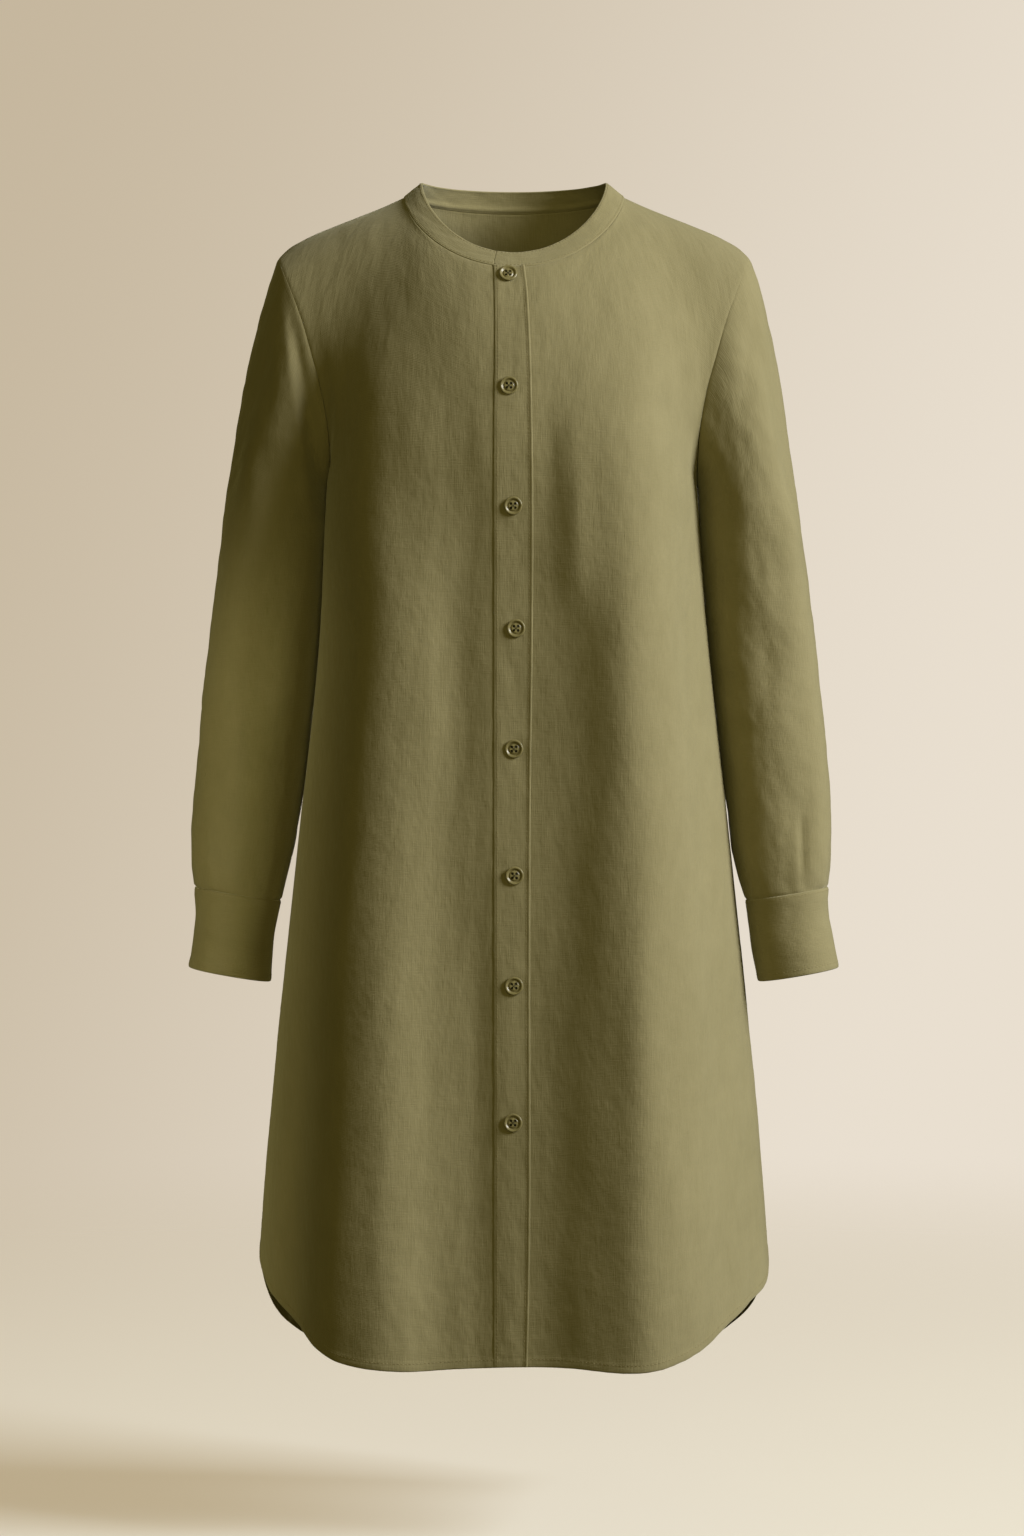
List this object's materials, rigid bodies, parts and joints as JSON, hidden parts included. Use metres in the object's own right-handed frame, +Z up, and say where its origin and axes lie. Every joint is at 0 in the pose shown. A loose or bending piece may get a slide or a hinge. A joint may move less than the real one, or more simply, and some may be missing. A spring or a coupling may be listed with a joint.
{
  "type": "shirt dress",
  "caption": "Collarless long-sleeved shirt dress in soft olive cloth, buttoned down the front, with narrow cuffs and a curved shirt-tail hem, in its worn, hollow form.",
  "frame": {"origin": "middle of the neck opening, level with the sides of the neck, where the wearer's shoulders hold the dress up", "axes": "+Z up, -Y towards the dress's front, +X towards the wearer's left"},
  "size_m": [0.5648, 0.3086, 1.0382],
  "materials": {
    "cloth": "soft matt linen and viscose weave",
    "button": "satin, dyed to match the cloth"
  },
  "bodies": {
    "root": {"front_right": "cloth", "front_left": "cloth", "back": "cloth", "collar_band": "cloth", "placket": "cloth", "sleeve_right": "cloth", "sleeve_left": "cloth", "cuff_right": "cloth", "cuff_left": "cloth", "button_1": "button", "button_2": "button", "button_3": "button", "button_4": "button", "button_5": "button", "button_6": "button", "button_7": "button", "button_8": "button"}
  },
  "joints": []
}
